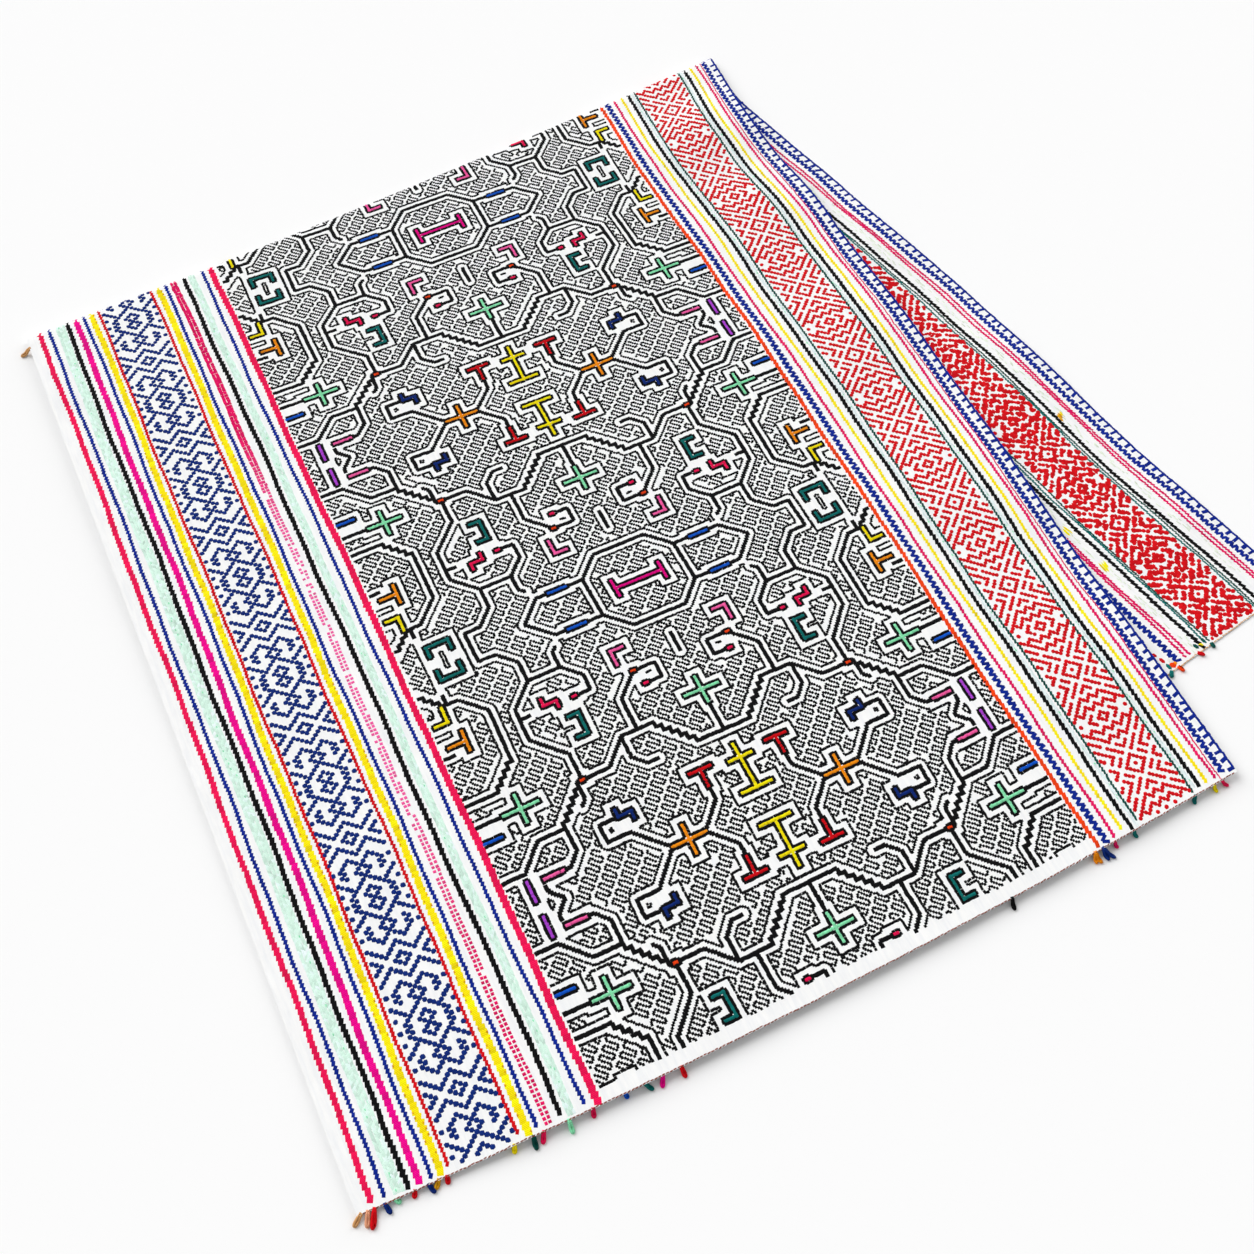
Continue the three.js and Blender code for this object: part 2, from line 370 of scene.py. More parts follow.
# Knots and long floats on the wrong side: across the cloth, back from the lower layer's end, size.
Knot = namedtuple("Knot", "across back colour length width")
KNOTS = table_of(
    Knot,
    (525, 4, "vermilion", 5, 3.2),
    (526, 7, "white", 7, 3.6),
    (527.5, 4, "orange", 3, 2.4),
    (522, 5, "teal", 5, 2.8),
    (521.5, 11, "scarlet", 7, 2.4),
    (520.5, 17, "scarlet", 5, 2),
    (548, 6, "dark_teal", 5, 2.6),
    (551, 4, "yellow", 4, 2.8),
    (555, 6, "dark_teal", 5, 2.6),
    (542.5, 91, "yellow", 11, 1.6),
    (544.5, 91, "yellow", 11, 1.6),
    (546.5, 92, "yellow", 10, 1.6),
    (544, 129, "yellow", 10, 1.8),
    (546, 130, "yellow", 9, 1.8),
    (612, 209, "ochre", 9, 2),
    (614, 210, "ochre", 7, 2),
    (616, 211, "yellow", 6, 1.8),
)

# Loose thread ends, each a few loops: where across the cloth, how far out, how far sideways.
ThreadEnd = namedtuple("ThreadEnd", "across reach lean colour loops")
NEAR_ENDS = table_of(
    ThreadEnd,
    (3, 7, -9, "tan", 1),
    (7, 10, -6, "peach", 1),
    (11, 12, -4, "scarlet", 2),
    (17, 8, 1, "navy", 1),
    (23, 5, 5, "mint", 1),
    (36, 5, -3, "scarlet", 1),
    (44, 9, 1, "navy", 1),
    (51, 6, -4, "ochre", 1),
    (56, 6, -1, "scarlet", 1),
    (99, 6, -2, "yellow", 1),
    (111, 9, -2, "dark_teal", 2),
    (118, 8, -3, "crimson", 1),
    (134, 9, -3, "mint", 1),
    (150, 8, -2, "crimson", 1),
    (171, 5, 2, "royal", 1),
    (184, 6, 4, "teal", 1),
    (197, 7, -3, "magenta", 1),
    (209, 8, 1, "scarlet", 2),
    (452, 9, 0, "black", 2),
    (519, 9, -2, "orange", 2),
    (525, 12, 0, "navy", 3),
    (535, 6, 4, "rose", 1),
    (551, 6, 1, "teal", 1),
    (604, 6, -2, "teal", 1),
    (620, 6, 2, "yellow", 1),
    (626, 6, 5, "crimson", 1),
)
UNDER_ENDS = table_of(
    ThreadEnd,
    (521, 5, -3, "teal", 1),
    (527, 6, 2, "vermilion", 2),
    (545, 4, 3, "scarlet", 1),
    (558, 6, -2, "dark_teal", 1),
    (606, 5, 2, "dark_teal", 1),
    (624, 6, -2, "rose", 1),
    (634, 6, 4, "navy", 1),
)
FOLD_LOOP = ThreadEnd(1, 2, -11, "tan", 1)
STRAND_RADIUS, FLOOR_GAP = 0.9, 0.05
STRAND_SIDES, STRAND_STEPS = 6, 16
ROOT_INSET, FOLD_LOOP_BACK = 1.2, 9

# A loop's shape: its width, how much of its reach it takes, how blunt its tip and how narrow its root
# is, where it sinks to the floor, how far it arches, and its palest and deepest shade.
LOOP_WIDTH, LOOP_SHORT, LOOP_LONG = 2.8, 0.6, 0.9
LOOP_BLUNT, LOOP_ROOT, LOOP_ARCH = 0.7, 0.3, 0.5
LOOP_SINK_FROM, LOOP_SINK_TO = 0.1, 0.75
LOOP_PALE, LOOP_DEEP = 1.12, 0.85

# How a stitch strays from its place, angle, size and shade, as by hand.
HAND_PLACE, HAND_ANGLE, HAND_SIZE, HAND_SHADE = 0.13, 0.08, 0.05, 0.09
SHADE_LEAST, SHADE_MOST = 0.7, 1.25

# A stitch of the usual width has the full relief, and thin and wide ones a little less and more.
USUAL_WIDTH, THIN_RELIEF, WIDE_RELIEF = 1.4, 0.7, 1.15

# The cotton's shade beside its slubs, and the floor's size in metres.
COTTON_SHADE = (0.93, 0.94, 0.96)
FLOOR_SIZE = 24

# The camera, placed from the near left corner of the upper layer, and the lamps' directions.
CAMERA_PLACE = (63.8, -179.7, 944.4)
CAMERA_AXIS = (0.23510, 0.42903, -0.87216)
CAMERA_UP = (0.38119, 0.78472, 0.48878)
LAMP_AXIS = (0.42, -0.72, -0.6)
LOW_LAMP_AXIS = (-0.75, -0.45, -0.36)


def srgb(red, green, blue):
    """A screen colour from 0 to 255 as the linear numbers that shaders read."""
    shown = np.array((red, green, blue)) / 255
    linear = np.where(shown <= 0.04045, shown / 12.92, ((shown + 0.055) / 1.055) ** 2.4)
    return tuple(float(x) for x in linear)


def length_setting(name, description, millimetres):
    """A length that a user may change."""
    return FloatProperty(name=name, description=description, default=millimetres * MM, min=0, unit="LENGTH")


def colour_setting(name, description, *shown):
    """A colour that a user may change."""
    return FloatVectorProperty(
        name=name,
        description=description,
        subtype="COLOR",
        size=3,
        min=0,
        max=1,
        default=srgb(*shown),
    )


def dye(name, *shown):
    """A thread's colour."""
    return colour_setting(name, f"Colour of the {name.lower()} thread", *shown)


def strength_setting(name, description, value):
    """A lamp's strength that a user may change."""
    return FloatProperty(name=name, description=description, default=value, min=0)


def angle_setting(name, description, degrees):
    """An angle that a user may change."""
    return FloatProperty(
        name=name, description=description, default=math.radians(degrees), subtype="ANGLE"
    )


class ClothSettings(bpy.types.PropertyGroup):
    """Sizes of the cloth and of its fold."""

    width: length_setting("Width", "Cloth from the plain edge to the blanket-stitched edge", 640)
    length: length_setting("Length", "Cloth from cut end to cut end, laid out flat", 1459)
    thickness: length_setting("Thickness", "Thickness of the woven ground", 0.6)
    fold_at_left: length_setting("Fold place", "From the near end to the fold, along the plain edge", 720)
    fold_radius: length_setting("Fold radius", "Radius of the rounded turn at the fold", 2.2)
    fold_skew: angle_setting("Fold skew", "How far the fold is off square", 4.7)
    ground: colour_setting("Ground", "Colour of the cotton ground", 246, 246, 245)


class ThreadSettings(bpy.types.PropertyGroup):
    """Colours and relief of the embroidery threads."""

    relief: length_setting("Relief", "How far a stitch stands above the cloth", 0.45)
    flat_relief: length_setting("Flat relief", "How far a pressed stitch stands under the cloth", 0.2)
    black: dye("Black", 9, 9, 11)
    white: dye("White", 244, 244, 240)
    crimson: dye("Crimson", 236, 18, 82)
    scarlet: dye("Scarlet", 212, 10, 22)
    vermilion: dye("Vermilion", 242, 66, 14)
    orange: dye("Orange", 248, 146, 16)
    ochre: dye("Ochre", 224, 160, 20)
    yellow: dye("Yellow", 255, 232, 10)
    peach: dye("Peach", 240, 168, 130)
    tan: dye("Tan", 220, 164, 106)
    mint: dye("Mint", 142, 234, 182)
    pale_mint: dye("Pale mint", 220, 251, 235)
    pale_green: dye("Pale green", 232, 243, 222)
    pale_teal: dye("Pale teal", 236, 249, 250)
    teal: dye("Teal", 12, 112, 108)
    dark_teal: dye("Dark teal", 8, 76, 68)
    royal: dye("Royal blue", 14, 88, 206)
    blue: dye("Blue", 8, 38, 142)
    navy: dye("Navy", 12, 42, 118)
    purple: dye("Purple", 176, 70, 214)
    magenta: dye("Magenta", 234, 0, 138)
    rose: dye("Rose", 228, 16, 98)
    pink: dye("Pink", 250, 96, 168)
    # Painted shade: this brown colours the stitch line along the near cut edge, which stands for the edge's
    # shade.
    brown: dye("Brown", 132, 64, 48)


class StageSettings(bpy.types.PropertyGroup):
    """The floor, the light and the lens."""

    floor: colour_setting("Floor", "Colour of the floor", 244, 244, 244)
    lens: FloatProperty(
        name="Lens", description="Focal length on a 36 mm wide frame, in millimetres", default=43.54, min=1
    )
    sky: strength_setting("Sky", "Strength of the even light all round", 0.44)
    lamp: strength_setting("Lamp", "Strength of the soft lamp", 2.7)
    low_lamp: strength_setting("Low lamp", "Strength of the low lamp", 1.1)
    lamp_spread: angle_setting("Lamp spread", "How wide the lamps look", 48)


# The folded surface.


def ease(x, start, end):
    """0 before start, 1 after end, and a smooth climb between."""
    t = np.clip((x - start) / (end - start), 0, 1)
    return t * t * (3 - 2 * t)


def swayed(rows, along):
    """The sideways shift between the rows of a table."""
    total = np.full(np.shape(along), float(rows[0].sway))
    for a, b in zip(rows, rows[1:]):
        total += (b.sway - a.sway) * ease(along, a.along, b.along)
    return total


def rippled(rows, along):
    """The height of a row of soft humps."""
    total = np.zeros(np.shape(along))
    for row in rows:
        off = np.clip((along - row.along) / row.half, -1, 1)
        total += row.height * np.cos(off * np.pi / 2) ** 2
    return total


class Drape:
    """Where each place of the flat cloth comes to lie."""

    def __init__(self, cloth):
        self.width = cloth.width / MM
        self.length = cloth.length / MM
        self.half = cloth.thickness / MM / 2
        self.fold = cloth.fold_at_left / MM
        self.radius = cloth.fold_radius / MM
        self.skew = cloth.fold_skew
        self.turn = math.pi * self.radius
        u, v = np.meshgrid(np.linspace(0, self.width, EDGE_SAMPLES), [EDGE_STRIP, self.fold / 2])
        lowest = self.middle(u, v).reshape(-1, 3).min(axis=0)
        corner = np.array(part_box("cloth")[0]) / MM
        self.shift = np.array((corner[0] - lowest[0], corner[1] - lowest[1], 0))

    def past_fold(self, u, v):
        """How far a place is beyond the fold line, square to it."""
        return (v - self.fold) * math.cos(self.skew) - u * math.sin(self.skew)

    def along_at(self, u, past):
        """How far along the cloth a line parallel to the fold is."""
        return self.fold + (past + u * math.sin(self.skew)) / math.cos(self.skew)

    def middle(self, u, v):
        """The middle of the cloth's thickness, in the cloth's own millimetres."""
        cos, sin = math.cos(self.skew), math.sin(self.skew)
        past = self.past_fold(u, v)
        beside = u * cos + (v - self.fold) * sin
        turn = np.clip(past / self.radius, 0, math.pi)
        lower = turn > math.pi / 2
        back = np.maximum(past - self.turn, 0)
        inward = np.minimum(past, 0) + self.radius * np.sin(turn) - back
        share = u / self.width
        hump = 4 * share * (1 - share)

        drawn = ease(share, SWAY_FROM, 1)
        shift = drawn * np.where(lower, swayed(LOWER_SWAY, back), swayed(UPPER_SWAY, v))
        x = beside * cos - inward * sin + shift
        y = self.fold + beside * sin + inward * cos
        x = x + LEAN * np.where(lower, 1, np.clip(y / self.fold, 0, 1))
        y = y - FOLD_BOW * hump * (1 - ease(np.abs(inward), 0, FOLD_BOW_REACH))

        outside = (self.fold - y) * math.sin(2 * self.skew) - x * math.cos(2 * self.skew)
        lift = rippled(UPPER_RIPPLES, v) * ease(share, UPPER_RIPPLE_FROM, 1)
        lift = lift - SINK * ease(outside, SINK_FROM, SINK_TO)
        under = rippled(LOWER_RIPPLES, back) * ease(share, LOWER_RIPPLE_FROM, 1)
        z = MIDDLE_HEIGHT + self.radius * (1 + np.cos(turn)) + np.where(lower, under, lift)
        y = y - np.where(lower, 0, NEAR_BOW * hump * (1 - ease(v, 0, NEAR_BOW_REACH)))
        return np.stack((x, y, z), axis=-1)

    def pucker(self, u, v):
        """How far the stitching lifts the cloth, away from its fold."""
        away = ease(-self.past_fold(u, v), PUCKER_FROM, PUCKER_FULL)
        across = np.sin(u / PUCKER_ACROSS + np.sin(v / BEND_ALONG))
        along = np.sin(v / PUCKER_ALONG + BEND_SHARE * np.sin(u / BEND_ACROSS))
        return PUCKER * away * (across * along + PUCKER_MIDDLE)

    def surface(self, u, v, lift):
        """Places in metres, lifted off the middle towards the embroidered face."""
        step = SLOPE_STEP
        across = self.middle(u + step, v) - self.middle(u - step, v)
        along = self.middle(u, v + step) - self.middle(u, v - step)
        normal = np.cross(across, along)
        normal /= np.linalg.norm(normal, axis=-1, keepdims=True)
        lift = lift + self.pucker(u, v)
        return (self.middle(u, v) + self.shift + normal * lift[..., None]) * MM


def drape():
    return Drape(bpy.context.scene.folded_cloth)


def thread_colour(name):
    return np.array(getattr(bpy.context.scene.cloth_threads, name))


# Stitches and the meshes they are joined into.

# A stitch of unit length, width and height: its points, and its faces counter-clockwise from above.
StitchForm = namedtuple("StitchForm", "points faces")
PLUMP = StitchForm(
    ((-0.5, 0, 0), (-0.25, -0.5, 0), (0.25, -0.5, 0), (0.5, 0, 0), (0.25, 0.5, 0), (-0.25, 0.5, 0),
     (-0.2, 0, 1), (0.2, 0, 1)),
    ((1, 2, 7, 6), (4, 5, 6, 7), (0, 1, 6), (0, 6, 5), (2, 3, 7), (3, 4, 7)),
)
BEAD = StitchForm(
    ((-0.5, -0.5, 0), (0.5, -0.5, 0), (0.5, 0.5, 0), (-0.5, 0.5, 0), (-0.2, 0, 1), (0.2, 0, 1)),
    ((0, 1, 5, 4), (2, 3, 4, 5), (1, 2, 5), (3, 0, 4)),
)
PRESSED = StitchForm(
    ((-0.5, -0.45, 1), (0.5, -0.45, 1), (0.5, 0.45, 1), (-0.5, 0.45, 1)),
    ((0, 1, 2, 3),),
)


class Stitches:
    """Stitches gathered as rows of u, v, angle, length, width, red, green and blue."""

    def __init__(self, seed):
        self.rows = []
        self.random = np.random.default_rng(seed)

    def add(self, u, v, angle, length, width, colour, loose=1.0):
        """Adds stitches, each a little off its place, size and shade as by hand."""
        u, v, angle, length, width = np.broadcast_arrays(np.atleast_1d(u), v, angle, length, width)
        draw = self.random.normal
        count = len(u)
        shade = np.clip(1 + HAND_SHADE * draw(size=(count, 1)), SHADE_LEAST, SHADE_MOST)
        dyed = np.clip(np.broadcast_to(colour, (count, 3)) * shade, 0, 1)
        loosely = np.stack(
            (
                u + HAND_PLACE * loose * draw(size=count),
                v + HAND_PLACE * loose * draw(size=count),
                angle + HAND_ANGLE * loose * draw(size=count),
                length * (1 + HAND_SIZE * loose * draw(size=count)),
                width * (1 + HAND_SIZE * loose * draw(size=count)),
            ),
            axis=1,
        )
        self.rows.append(np.concatenate((loosely, dyed), axis=1))

    def table(self):
        return np.concatenate(self.rows)


def joined_mesh(name, points, faces, colours, spots):
    """A mesh of many like forms: points is forms by corners by 3, faces index one form's corners."""
    forms, corners = points.shape[:2]
    loops = np.concatenate([np.array(face) for face in faces])
    sizes = np.array([len(face) for face in faces])
    starts = np.concatenate(([0], np.cumsum(sizes)[:-1]))
    offsets = np.arange(forms)[:, None]
    mesh = bpy.data.meshes.new(name)
    mesh.vertices.add(forms * corners)
    mesh.vertices.foreach_set("co", points.astype(np.float32).ravel())
    mesh.loops.add(forms * len(loops))
    mesh.loops.foreach_set("vertex_index", (loops + offsets * corners).astype(np.int32).ravel())
    mesh.polygons.add(forms * len(faces))
    mesh.polygons.foreach_set("loop_start", (starts + offsets * len(loops)).astype(np.int32).ravel())
    mesh.polygons.foreach_set("use_smooth", np.ones(forms * len(faces), bool))
    mesh.update(calc_edges=True)
    uv = mesh.uv_layers.new(name="Stitch")
    uv.data.foreach_set("uv", np.tile(np.array(spots)[loops], (forms, 1)).astype(np.float32).ravel())
    dyed = mesh.color_attributes.new("Dye", "FLOAT_COLOR", "POINT")
    full = np.ones((forms, corners, 4), np.float32)
    full[:, :, :3] = colours[:, None, :]
    dyed.data.foreach_set("color", full.ravel())
    return mesh


def add_piece(name, mesh, material):
    """Puts a finished mesh in the scene, riding on the cloth's body."""
    piece = bpy.data.objects.new(name, mesh)
    bpy.context.scene.collection.objects.link(piece)
    mesh.materials.append(material)
    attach(piece, BODY)
    return piece


def sew(name, table, form, side=1, relief=None):
    """Lays stitches of one form on the face, or with side -1 on the back, and joins them in a mesh."""
    folded = drape()
    threads = bpy.context.scene.cloth_threads
    height = (threads.relief if relief is None else relief) / MM
    u, v, angle, length, width = table[:, :5].T[:, :, None]
    shape = np.array(form.points)
    along, aside, up = shape.T
    x, y = along * length, aside * width
    flat_u = u + x * np.cos(angle) - y * np.sin(angle)
    flat_v = v + x * np.sin(angle) + y * np.cos(angle)
    height = height * np.clip(width / USUAL_WIDTH, THIN_RELIEF, WIDE_RELIEF)
    points = folded.surface(flat_u, flat_v, side * (folded.half + up * height))
    faces = form.faces if side > 0 else [face[::-1] for face in form.faces]
    mesh = joined_mesh(name, points, faces, table[:, 5:8], shape[:, :2] + 0.5)
    return add_piece(name, mesh, thread_material())


def faces_down(table):
    """Which stitches lie under the cloth, or on the lower half of its fold."""
    folded = drape()
    return folded.past_fold(table[:, 0], table[:, 1]) > folded.turn / 2


def clear_of_ends(v, margin):
    """Which places along the cloth keep a margin from its cut ends."""
    return (v > margin) & (v < drape().length - margin)


def sew_face(name, stitches, form=PLUMP, relief=None, margin=END_MARGIN, parts=WHOLE):
    """Sews what shows from above in full, part by part, and what lies under the cloth pressed flat."""
    table = stitches.table()
    table = table[clear_of_ends(table[:, 1], margin)]
    under = faces_down(table)
    for part, (start, end) in parts.items():
        within = (table[:, 1] >= start) & (table[:, 1] < end)
        sew(name + part, table[~under & within], form, relief=relief)
    sew(f"{name}_under", table[under], PRESSED, relief=bpy.context.scene.cloth_threads.flat_relief)


# Charts.


def route_points(route):
    """The corners of a route."""
    points = [route.start]
    for move in route.moves.split():
        name = move.rstrip("0123456789")
        count = int(move[len(name):])
        dx, dy = COMPASS[name.upper()]
        x, y = points[-1]
        if name.islower():
            for _ in range(count):
                points += [(x + dx, y), (x + dx, y + dy)]
                x, y = points[-1]
        else:
            points.append((x + dx * count, y + dy * count))
    return points


def even_places(points, pitch):
    """Places a pitch apart along a line of points, with the line's direction at each."""
    points = np.asarray(points, float)
    legs = np.hypot(*np.diff(points, axis=0).T)
    reach = np.concatenate(([0], np.cumsum(legs)))
    count = max(1, round(reach[-1] / pitch))
    at = (np.arange(count) + 0.5) * reach[-1] / count
    u = np.interp(at, reach, points[:, 0])
    v = np.interp(at, reach, points[:, 1])
    leg = np.clip(np.searchsorted(reach, at) - 1, 0, len(legs) - 1)
    turn = np.diff(points, axis=0)
    return u, v, np.arctan2(turn[leg, 1], turn[leg, 0])


def turned(point, quarter_turns):
    x, y = point
    for _ in range(quarter_turns):
        x, y = -y, x
    return np.array((x, y), float)


def heavy_lines():
    """The field's heavy lines, each a list of flat points."""
    return [np.array(route_points(route), float) * FIELD_STEP for route in FIELD_PATHS]


def inlay_bars(inlay):
    """The bars of one filled shape, in place."""
    place = np.array(inlay.at, float)
    for ends in SHAPES[inlay.shape]:
        yield [(place + turned(end, inlay.quarter_turns)) * FIELD_STEP for end in ends]


def straight_distance(bars, u, v, corner):
    """How far each grid place is from the nearest bar or its mirror images, by the kind of corner."""
    far = np.full(u.shape, np.inf)
    for a, b in bars:
        for flip_u, move_u in ((1, 0), (-1, 0), (-1, 2 * QUARTER_ACROSS)):
            for flip_v, move_v in ((1, 0), (-1, 0), (-1, 2 * QUARTER_ALONG)):
                flip, move = np.array((flip_u, flip_v)), np.array((move_u, move_v))
                start, run = a * flip + move, (b - a) * flip
                t = np.clip(((u - start[0]) * run[0] + (v - start[1]) * run[1]) / (run @ run), 0, 1)
                du, dv = np.abs(u - start[0] - t * run[0]), np.abs(v - start[1] - t * run[1])
                far = np.minimum(far, np.maximum(np.maximum(du, dv), (du + dv) / corner))
    return far


def level_lines(field, level, grid_u, grid_v):
    """The lines on which a gridded field has one value, each as a list of flat points."""
    inside = field > level
    links = {}

    def crossing(row, column, upward):
        other = field[row + upward, column + 1 - upward]
        share = (level - field[row, column]) / (other - field[row, column])
        step = share * GRID_STEP
        return grid_u[column] + step * (1 - upward), grid_v[row] + step * upward

    corners = inside[:-1, :-1] * 1 + inside[:-1, 1:] + inside[1:, :-1] + inside[1:, 1:]
    for row, column in np.argwhere((corners > 0) & (corners < 4)):
        edges = ((row, column, 0), (row, column + 1, 1), (row + 1, column, 0), (row, column, 1))
        cut = [e for e in edges if inside[e[0], e[1]] != inside[e[0] + e[2], e[1] + 1 - e[2]]]
        for a, b in zip(cut[::2], cut[1::2]):
            links.setdefault(a, []).append(b)
            links.setdefault(b, []).append(a)
    lines = []
    ends = [edge for edge, near in links.items() if len(near) == 1]
    for first in ends + list(links):
        if first not in links:
            continue
        chain = [first]
        while chain[-1] in links:
            near = [edge for edge in links.pop(chain[-1]) if edge in links]
            if not near:
                break
            chain.append(near[0])
        if len(chain) >= SHORTEST_LINE:
            lines.append([crossing(*edge) for edge in chain])
    return lines


def fill_columns():
    """One winding line for each slanting column over the whole field: flat places and angles."""
    left, right = FIELD_MIDDLE - QUARTER_ACROSS, FIELD_MIDDLE + QUARTER_ACROSS
    length = drape().length
    slant, square = [], []
    for stroke in range(int((right + length) / math.sqrt(2) / FILL_STROKE) + 2):
        side = FILL_REACH / 2 * (1 if stroke % 2 else -1)
        slant += [stroke * FILL_STROKE] * 2
        square += [-side, side]
    p, q, angle = even_places(np.stack((slant, square), axis=1), FILL_PITCH)
    first, last = int(-length / math.sqrt(2) / FILL_COLUMN), int(right / math.sqrt(2) / FILL_COLUMN)
    for column in range(first - 1, last + 2):
        aside = q + column * FILL_COLUMN
        u, v = (p + aside) / math.sqrt(2), (p - aside) / math.sqrt(2)
        kept = (u > left) & (u < right) & (v > 0) & (v < length)
        yield u[kept], v[kept], math.pi / 4 - angle[kept]


def quarter_cells(u, v, shape):
    """The grid row and column that hold each flat place's mirror image in the charted quarter."""
    across = np.abs(u - FIELD_MIDDLE)
    repeat = np.mod(v - FIELD_START, 2 * QUARTER_ALONG)
    along = np.minimum(repeat, 2 * QUARTER_ALONG - repeat)
    row = np.round((along + GRID_MARGIN) / GRID_STEP).astype(int)
    column = np.round((across + GRID_MARGIN) / GRID_STEP).astype(int)
    return np.minimum(row, shape[0] - 1), np.minimum(column, shape[1] - 1)


def long_runs(kept, least):
    """Drops the kept places that stand in runs shorter than the least."""
    edges = np.flatnonzero(np.diff(np.concatenate(([False], kept, [False])).astype(int)))
    for start, end in zip(edges[::2], edges[1::2]):
        if end - start < least:
            kept[start:end] = False
    return kept


def add_fill(stitches, off, colour):
    """Fills the ground between the echo lines with winding lines, given how far off the lines it is."""
    steep_v, steep_u = np.gradient(off, GRID_STEP)
    for u, v, angle in fill_columns():
        if not len(u):
            continue
        cells = quarter_cells(u, v, off.shape)
        flip_u = np.sign(u - FIELD_MIDDLE)
        flip_v = np.where(np.mod(v - FIELD_START, 2 * QUARTER_ALONG) > QUARTER_ALONG, -1, 1)
        heading = np.cos(angle) * steep_u[cells] * flip_u + np.sin(angle) * steep_v[cells] * flip_v
        kept = off[cells] > np.where(np.abs(heading) > MEETING, FILL_MEETS, FILL_OFF)
        kept = long_runs(kept & clear_of_ends(v, FIELD_MARGIN), FILL_RUN)
        du, dv = wander(u, v)
        stitches.add((u + du)[kept], (v + dv)[kept], 0, FILL_BEAD, FILL_BEAD, colour)


def over_field(u, v, angle):
    """Repeats a quarter's stitches over the whole field, mirrored about its axes."""
    kept = (u > -ON_AXIS) & (u < QUARTER_ACROSS) & (v > -ON_AXIS) & (v < QUARTER_ALONG + ON_AXIS)
    u, v, angle = u[kept], v[kept], angle[kept]
    repeats = int(drape().length / QUARTER_ALONG) + 2
    for flip_u in (1, -1):
        for repeat in range(-1, repeats):
            flip_v = 1 if repeat % 2 == 0 else -1
            start = FIELD_START + (repeat + (flip_v < 0)) * QUARTER_ALONG
            twice = ((u < ON_AXIS) & (flip_u < 0)) | ((v < ON_AXIS) & (flip_v < 0))
            once = ~(twice | ((v > QUARTER_ALONG - ON_AXIS) & (flip_v < 0)))
            yield (
                FIELD_MIDDLE + flip_u * u[once],
                start + flip_v * v[once],
                angle[once] * flip_u * flip_v,
            )


def waved(waves, u, v):
    """The sum of a table of waves."""
    return sum(wave.height * np.sin(v / wave.along + u / wave.across + wave.start) for wave in waves)


def wander(u, v):
    """How far a row counted by hand strays across and along the cloth."""
    return waved(WANDER_ACROSS, u, v), waved(WANDER_ALONG, u, v)


def embroider(stitches, places, length, width, colour):
    """Adds a quarter's stitches all over the field."""
    for u, v, angle in over_field(*places):
        du, dv = wander(u, v)
        stitches.add(u + du, v + dv, angle, length, width, colour)


def embroider_beads(stitches, places, bead, colour):
    """Adds beads all over the field, square to the cloth whichever way their line runs."""
    u, v, _ = places
    embroider(stitches, (u, v, np.zeros_like(u)), bead, bead, colour)


# Materials.


def new_material(name):
    """A material, its node tree and its bare Principled shader."""
    material = bpy.data.materials.new(name)
    material.use_nodes = True
    return material, material.node_tree, material.node_tree.nodes["Principled BSDF"]


def add_node(tree, kind, **values):
    """A node with its settings and unlinked inputs set by name."""
    node = tree.nodes.new(kind)
    for name, value in values.items():
        if hasattr(node, name):
            setattr(node, name, value)
        else:
            node.inputs[name.replace("_", " ")].default_value = value
    return node


def link(source, output, target, entry):
    """Links two nodes of one tree, by the names of their sockets."""
    source.id_data.links.new(source.outputs[output], target.inputs[entry])


def plain_weave_group():
    """Over-and-under threads of a plain weave: its height, and the slubs in its threads."""
    tree = bpy.data.node_groups.get("plain_weave")
    if tree:
        return tree
    tree = bpy.data.node_groups.new("plain_weave", "ShaderNodeTree")
    tree.interface.new_socket("Vector", in_out="INPUT", socket_type="NodeSocketVector")
    tree.interface.new_socket("Threads", in_out="INPUT", socket_type="NodeSocketFloat")
    tree.interface.new_socket("Height", in_out="OUTPUT", socket_type="NodeSocketFloat")
    tree.interface.new_socket("Slub", in_out="OUTPUT", socket_type="NodeSocketFloat")
    given = tree.nodes.new("NodeGroupInput")
    out = tree.nodes.new("NodeGroupOutput")
    waves = []
    for direction in ("X", "Y"):
        wave = add_node(tree, "ShaderNodeTexWave", bands_direction=direction, Distortion=1.2, Detail=1.0)
        link(given, "Vector", wave, "Vector")
        link(given, "Threads", wave, "Scale")
        waves.append(wave)
    woven = add_node(tree, "ShaderNodeMath", operation="MAXIMUM")
    link(waves[0], "Fac", woven, 0)
    link(waves[1], "Fac", woven, 1)
    slub = add_node(tree, "ShaderNodeTexNoise", Scale=38.0, Detail=3.0, Roughness=0.6)
    stretch = add_node(tree, "ShaderNodeMapping", Scale=(9.0, 1.0, 1.0))
    link(given, "Vector", stretch, "Vector")
    link(stretch, "Vector", slub, "Vector")
    link(woven, "Value", out, "Height")
    link(slub, "Fac", out, "Slub")
    return tree


